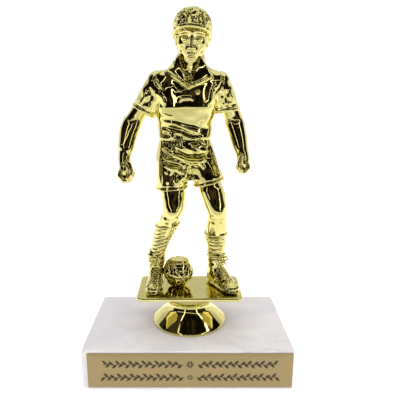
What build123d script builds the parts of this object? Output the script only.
"""Figure trophy: a gold metallised footballer on a deck and bell riser, bolted to a white marble base.

Row frame, millimetres: +X to the viewer's right, +Y away from the name plate, +Z up, with the origin
under the middle of the base on the surface it stands on. Figure sections are given from the bolt's axis
and the top of the deck, as the mould is drawn.
"""

import os

from build123d import *

# Marble base, its pads and its name plate
base_width = 88.9
base_depth = 50.2
base_height = 18.0
base_edge = 0.7
pad_height = 0.8
pad_radius = 5.0
pad_inset = 8.0
plate_width = 85.7
plate_height = 15.9
plate_thick = 0.5
plate_shift = 1.0
plate_drop = 0.9
tape_thick = 0.15
tape_margin = 0.8

# Fixings: a 1/4-20 x 1 inch hex bolt, flat and spring washers, and the nut moulded into the deck's boss
bolt_radius = 3.175
bolt_length = 25.4
thread_pitch = 1.27
thread_depth = 0.55
thread_turns = 9
bolt_head_flats = 11.1
bolt_head_height = 4.0
washer_radius = 8.0
washer_thick = 1.2
spring_washer_radius = 6.2
spring_washer_thick = 1.6
nut_flats = 11.1
nut_height = 5.6
nut_bore_radius = 3.24
clear_radius = 3.5
counterbore_radius = 9.5
counterbore_depth = 8.6

# Bell riser
bell_radius = 17.1
bell_rim = 1.8
bell_flank_radius = 10.9
bell_flank_height = 7.4
neck_radius = 9.3
neck_height = 10.4
bell_wall = 1.3
rib_count = 6
rib_thick = 1.2
spigot_play = 0.05

# Deck that the player stands on
deck_width = 47.4
deck_depth = 25.4
deck_thick = 1.7
deck_corner = 2.6
bowl_radius = 12.2
bowl_foot_radius = 10.3
bowl_height = 4.2
boss_depth = 4.8
boss_lip = 1.4

# Moulded player
ball_radius = 7.0
ball_flat = 0.12
ball_place = (-5.1, 2.2)
peg_radius = 1.1
peg_length = 1.0
peg_play = 0.05
seam = 1.0

# Levels and the bolt's axis, which stands a little behind the middle of the slab
axis_x = 0.8
axis_y = 2.5
slab_back = (plate_thick + tape_thick) / 2
slab_front = slab_back - base_depth / 2
base_top = pad_height + base_height
shoulder = pad_height + counterbore_depth
head_top = shoulder - washer_thick - spring_washer_thick
bowl_foot = base_top + neck_height
deck_under = bowl_foot + bowl_height
deck_top = deck_under + deck_thick
nut_foot = bowl_foot - boss_depth + boss_lip

bolt_axis = Axis((axis_x, axis_y, 0), (0, 0, 1))


def on_axis(height):
    """A level plane whose origin is on the bolt's axis."""
    return Plane(origin=(axis_x, axis_y, height))


def upright_on_axis(height):
    """An upright plane through the bolt's axis, for profiles that are turned about it."""
    return Plane(origin=(axis_x, axis_y, height), x_dir=(1, 0, 0), z_dir=(0, -1, 0))


def figure_plane(height):
    """A level plane at that height above the deck, with its origin on the bolt's axis."""
    return on_axis(deck_top + height)


def export(piece, name):
    piece.label = name
    export_step(piece, f"parts/{name}.step")


# ---------------------------------------------------------------- base


def make_marble_base():
    with BuildPart() as slab:
        with BuildSketch(Plane.XY.offset(pad_height)):
            with Locations((0, slab_back)):
                RectangleRounded(base_width, base_depth, base_edge)
        extrude(amount=base_height)
        chamfer(slab.faces().sort_by(Axis.Z)[-1].edges(), base_edge / 2)
        with BuildSketch(on_axis(pad_height)):
            Circle(clear_radius)
        extrude(amount=base_height, mode=Mode.SUBTRACT)
        with BuildSketch(on_axis(pad_height)):
            Circle(counterbore_radius)
        extrude(amount=counterbore_depth, mode=Mode.SUBTRACT)
    return slab.part


def make_felt_pad(x, y):
    with BuildPart() as pad:
        with BuildSketch(Plane.XY):
            with Locations((x, y)):
                Circle(pad_radius)
        extrude(amount=pad_height)
    return pad.part


def make_front_sheet(width, height, thick, stand_off):
    """A sheet on the slab's front face: the name plate or the tape behind it."""
    middle = base_top - plate_drop - plate_height / 2
    face = Plane(origin=(plate_shift, slab_front - stand_off, middle), x_dir=(1, 0, 0), z_dir=(0, -1, 0))
    with BuildPart() as sheet:
        with BuildSketch(face):
            Rectangle(width, height)
        extrude(amount=thick)
    return sheet.part


# ---------------------------------------------------------------- fixings


def make_hex_bolt():
    groove_top = head_top + bolt_length - thread_pitch
    with BuildPart() as bolt:
        with BuildSketch(on_axis(head_top - bolt_head_height)):
            RegularPolygon(bolt_head_flats / 2, 6, major_radius=False)
        extrude(amount=bolt_head_height)
        with BuildSketch(on_axis(head_top)):
            Circle(bolt_radius)
        extrude(amount=bolt_length)
        chamfer(bolt.faces().sort_by(Axis.Z)[-1].edges(), thread_depth)
        for turn in range(thread_turns):
            with BuildSketch(upright_on_axis(groove_top - turn * thread_pitch)):
                with BuildLine():
                    Polyline(
                        (bolt_radius + 0.1, thread_pitch / 2),
                        (bolt_radius - thread_depth, 0),
                        (bolt_radius + 0.1, -thread_pitch / 2),
                        close=True,
                    )
                make_face()
            revolve(axis=bolt_axis, mode=Mode.SUBTRACT)
    return bolt.part


def make_washer(height, outer, thick, gap=0.0):
    """A plain washer, or a split spring washer when it has a gap."""
    with BuildPart() as washer:
        with BuildSketch(on_axis(height)):
            Circle(outer)
            Circle(clear_radius, mode=Mode.SUBTRACT)
            if gap:
                with Locations((outer, 0)):
                    Rectangle(2 * (outer - clear_radius) + gap, gap, rotation=20, mode=Mode.SUBTRACT)
        extrude(amount=thick)
    return washer.part


def make_captive_nut():
    with BuildPart() as nut:
        with BuildSketch(on_axis(nut_foot)):
            RegularPolygon(nut_flats / 2, 6, major_radius=False)
            Circle(nut_bore_radius, mode=Mode.SUBTRACT)
        extrude(amount=nut_height)
    return nut.part


# ---------------------------------------------------------------- riser and deck


def bell_profile(grow):
    """The bell's outline from its rim to its neck, or its inside when grow is negative."""
    rim_out = bell_radius + grow
    flank_out = bell_flank_radius + grow
    neck_out = neck_radius + grow
    rim_top = base_top + bell_rim + grow
    flank_top = base_top + bell_flank_height + grow
    with BuildLine() as line:
        Polyline((0, base_top), (rim_out, base_top), (rim_out, rim_top), (flank_out, flank_top))
        Spline(
            (flank_out, flank_top),
            (neck_out, bowl_foot),
            tangents=((-1, 1), (0, 1)),
        )
        Polyline((neck_out, bowl_foot), (0, bowl_foot), (0, base_top))
    return line.line


def make_bell_riser():
    spigot_hole = neck_radius - bell_wall
    with BuildPart() as bell:
        with BuildSketch(upright_on_axis(0)):
            with BuildLine():
                add(bell_profile(0))
            make_face()
            with BuildLine():
                add(bell_profile(-bell_wall))
            make_face(mode=Mode.SUBTRACT)
        revolve(axis=bolt_axis)
        with BuildSketch(on_axis(base_top)):
            with PolarLocations(0, rib_count):
                with Locations(((bell_radius + clear_radius) / 2, 0)):
                    Rectangle(bell_radius - clear_radius - 2 * bell_wall, rib_thick)
        extrude(amount=bell_rim)
        with BuildSketch(on_axis(base_top)):
            Circle(clear_radius + 2 * bell_wall)
            Circle(clear_radius, mode=Mode.SUBTRACT)
        extrude(amount=bell_rim)
        with BuildSketch(on_axis(base_top + bell_rim)):
            Circle(spigot_hole)
        extrude(amount=neck_height, mode=Mode.SUBTRACT)
    return bell.part


def foot_peg_places():
    """Peg centres under each shoe, as (x, y), toe first, from the bolt's axis."""
    return [(-15.9, -6.0), (-15.9, 4.6), (17.0, -5.4), (12.2, 4.8)]


def make_deck():
    boss_radius = neck_radius - bell_wall - spigot_play
    boss_foot = bowl_foot - boss_depth
    with BuildPart() as deck:
        with BuildSketch(on_axis(deck_under)):
            RectangleRounded(deck_width, deck_depth, deck_corner)
        extrude(amount=deck_thick)
        fillet(deck.faces().sort_by(Axis.Z)[-1].edges(), 0.4)
        with BuildSketch(on_axis(bowl_foot)):
            Circle(bowl_foot_radius)
        with BuildSketch(on_axis(deck_under)):
            Circle(bowl_radius)
        loft(ruled=True)
        with BuildSketch(on_axis(boss_foot)):
            Circle(boss_radius)
        extrude(amount=boss_depth)
        with BuildSketch(on_axis(nut_foot)):
            RegularPolygon(nut_flats / 2, 6, major_radius=False)
        extrude(amount=nut_height, mode=Mode.SUBTRACT)
        with BuildSketch(on_axis(boss_foot)):
            Circle(clear_radius)
        extrude(amount=boss_depth + bowl_height - 0.4, mode=Mode.SUBTRACT)
        with BuildSketch(on_axis(deck_top - peg_length - peg_play)):
            with Locations(*foot_peg_places(), ball_place):
                Circle(peg_radius + peg_play)
        extrude(amount=deck_thick, mode=Mode.SUBTRACT)
    return deck.part


def make_ball():
    with BuildPart() as ball:
        with Locations(figure_plane(ball_radius - ball_flat).location * Location((*ball_place, 0))):
            Sphere(ball_radius)
        split(bisect_by=figure_plane(0), keep=Keep.TOP)
        with BuildSketch(figure_plane(-peg_length)):
            with Locations(ball_place):
                Circle(peg_radius)
        extrude(amount=peg_length + 1)
    return ball.part


# ---------------------------------------------------------------- player
# Each section is (height, x, y, half width, half depth), and a form is lofted through its sections.

torso = [
    (66.0, -2.2, 0.6, 11.2, 7.2),
    (73.0, -2.2, 0.4, 10.8, 6.9),
    (82.0, -1.4, 0.2, 12.2, 8.0),
    (89.0, -1.2, 0.4, 13.6, 8.4),
    (95.5, -0.8, 1.0, 13.0, 7.0),
    (99.5, -0.2, 1.6, 6.6, 5.4),
]
hips = [
    (46.5, 0.2, 0.6, 14.6, 7.6),
    (54.0, -0.4, 0.6, 14.6, 8.4),
    (61.0, -1.2, 0.7, 13.4, 8.2),
    (68.0, -2.0, 0.6, 11.6, 7.4),
]
right_leg = [
    (8.0, -16.0, 4.2, 3.0, 3.4),
    (14.0, -15.0, 3.8, 3.5, 3.7),
    (24.0, -11.8, 2.4, 4.3, 4.8),
    (32.0, -9.4, -0.4, 4.9, 5.0),
    (38.0, -7.4, -1.2, 5.0, 5.2),
    (48.0, -7.0, 0.2, 6.2, 6.4),
]
left_leg = [
    (8.0, 12.0, 4.2, 3.1, 3.4),
    (14.0, 12.2, 3.8, 3.6, 3.7),
    (24.0, 12.1, 2.6, 4.7, 4.9),
    (32.0, 12.2, 0.4, 4.6, 5.0),
    (38.0, 12.0, -0.4, 4.7, 5.2),
    (48.0, 9.2, 0.4, 6.2, 6.4),
]
right_arm = [
    (49.8, -27.4, -2.4, 1.8, 1.8),
    (51.6, -27.6, -2.4, 3.9, 3.6),
    (55.0, -27.8, -2.2, 4.0, 3.7),
    (60.0, -28.2, -1.2, 2.6, 2.6),
    (70.0, -27.0, 0.6, 3.6, 3.4),
    (77.0, -24.6, 1.6, 4.2, 3.9),
    (84.0, -19.6, 1.2, 5.4, 5.2),
    (90.0, -15.0, 0.8, 5.0, 5.6),
    (95.0, -12.6, 0.8, 4.6, 4.8),
    (98.6, -9.4, 1.0, 2.8, 3.0),
]
left_arm = [
    (52.4, 23.0, -2.4, 1.8, 1.8),
    (54.2, 23.0, -2.4, 3.4, 3.4),
    (57.0, 23.0, -2.2, 3.5, 3.5),
    (61.5, 23.3, -1.2, 2.6, 2.6),
    (70.0, 21.2, 0.6, 3.6, 3.4),
    (77.0, 19.6, 1.6, 4.2, 3.9),
    (84.0, 16.2, 1.2, 5.2, 5.2),
    (90.0, 14.2, 0.8, 5.0, 5.6),
    (95.0, 11.8, 0.8, 4.6, 4.8),
    (98.6, 9.2, 1.0, 2.8, 3.0),
]
neck = [
    (96.0, 0.0, 1.6, 4.6, 4.6),
    (106.0, 0.8, 1.2, 3.9, 4.4),
]
head = [
    (100.6, 0.4, -2.0, 1.9, 2.4),
    (103.0, 0.6, -1.0, 4.4, 5.4),
    (107.5, 0.9, 0.2, 5.8, 7.2),
    (112.0, 1.2, 0.4, 7.4, 8.6),
    (117.0, 1.4, 0.6, 7.0, 8.4),
    (120.6, 1.4, 0.8, 4.6, 5.6),
    (122.2, 1.4, 0.8, 1.6, 2.0),
]
shoe = [
    (0.0, 0.0, 0.0, 3.5, 9.4),
    (2.4, 0.0, 0.0, 3.7, 9.5),
    (5.2, 0.0, 1.8, 3.4, 7.2),
    (8.6, 0.0, 4.4, 3.3, 4.4),
    (11.0, 0.0, 5.0, 3.2, 3.6),
]
shoe_places = [((-16.05, -1.1), 0), ((14.5, 0.0), 25.5)]
cavity = [
    (52.0, -0.4, 0.6, 8.0, 5.2),
    (61.0, -1.2, 0.6, 10.2, 5.8),
    (73.0, -2.2, 0.4, 8.6, 4.8),
    (82.0, -1.4, 0.2, 9.8, 5.6),
    (91.0, -1.0, 0.6, 8.6, 5.2),
]
crotch_gap = [
    (46.0, 1.0, 0.6, 1.7, 12.0),
    (50.5, 0.8, 0.6, 0.8, 12.0),
]
locating_pegs = [(40.5, -7.2), (40.5, 10.9), (97.0, 0.0)]


def make_form(sections, place=(0, 0), turn=0):
    """One lofted form of the player, through level elliptical sections."""
    with BuildPart() as form:
        for height, x, y, half_width, half_depth in sections:
            level = Plane(figure_plane(height).location * Location((*place, 0), (0, 0, turn)))
            with BuildSketch(level):
                with Locations((x, y)):
                    Ellipse(half_width, half_depth)
        loft(ruled=True)
    return form.part


def make_crotch_gap():
    """The wedge of air between the legs of the shorts."""
    (low, x, y, half_low, reach), (high, _, _, half_high, _) = crotch_gap
    with BuildPart() as gap:
        for height, half in ((low, half_low), (high, half_high)):
            with BuildSketch(figure_plane(height)):
                with Locations((x, y)):
                    Rectangle(2 * half, 2 * reach)
        loft(ruled=True)
    return gap.part


def make_player():
    """The whole player, before it is parted into its two mouldings."""
    forms = [make_form(each) for each in (torso, hips, right_leg, left_leg, right_arm, left_arm, neck, head)]
    forms += [make_form(shoe, place, turn) for place, turn in shoe_places]
    hollow = make_form(cavity)
    gap = make_crotch_gap()
    with BuildPart() as player:
        for form in forms:
            add(form)
        add(gap, mode=Mode.SUBTRACT)
        add(hollow, mode=Mode.SUBTRACT)
    return player.part


def peg_plane(height, x):
    """Stands on the parting plane and faces the front."""
    return Plane(origin=(axis_x + x, axis_y + seam, deck_top + height), x_dir=(1, 0, 0), z_dir=(0, -1, 0))


def make_player_half(player, front):
    """One of the two mouldings: the back one has the locating pegs and the front one their sockets."""
    parting = Plane(origin=(0, axis_y + seam, 0), x_dir=(1, 0, 0), z_dir=(0, -1, 0))
    own_pegs = [place for place in foot_peg_places() if (place[1] < seam) == front]
    with BuildPart() as half:
        add(player)
        split(bisect_by=parting, keep=Keep.TOP if front else Keep.BOTTOM)
        for height, x in locating_pegs:
            with BuildSketch(peg_plane(height, x)):
                Circle(peg_radius + peg_play if front else peg_radius)
            if front:
                extrude(amount=peg_length + peg_play, mode=Mode.SUBTRACT)
            else:
                extrude(amount=peg_length)
        with BuildSketch(figure_plane(-peg_length)):
            with Locations(*own_pegs):
                Circle(peg_radius)
        extrude(amount=peg_length + 1)
    return half.part


os.makedirs("parts", exist_ok=True)
export(make_marble_base(), "marble_base")
pad_x = base_width / 2 - pad_inset
pad_y = base_depth / 2 - pad_inset
for side, x in (("left", -pad_x), ("right", pad_x)):
    for end, y in (("front", slab_back - pad_y), ("rear", slab_back + pad_y)):
        export(make_felt_pad(x, y), f"felt_pad_{end}_{side}")
export(make_front_sheet(plate_width, plate_height, plate_thick, tape_thick), "name_plate")
export(
    make_front_sheet(plate_width - 2 * tape_margin, plate_height - 2 * tape_margin, tape_thick, 0),
    "name_plate_tape",
)
export(make_hex_bolt(), "hex_bolt")
export(make_washer(head_top, spring_washer_radius, spring_washer_thick, gap=0.8), "spring_washer")
export(make_washer(shoulder - washer_thick, washer_radius, washer_thick), "flat_washer")
export(make_captive_nut(), "captive_nut")
export(make_bell_riser(), "bell_riser")
export(make_deck(), "deck")
export(make_ball(), "ball")
whole_player = make_player()
export(make_player_half(whole_player, front=True), "player_front")
export(make_player_half(whole_player, front=False), "player_back")
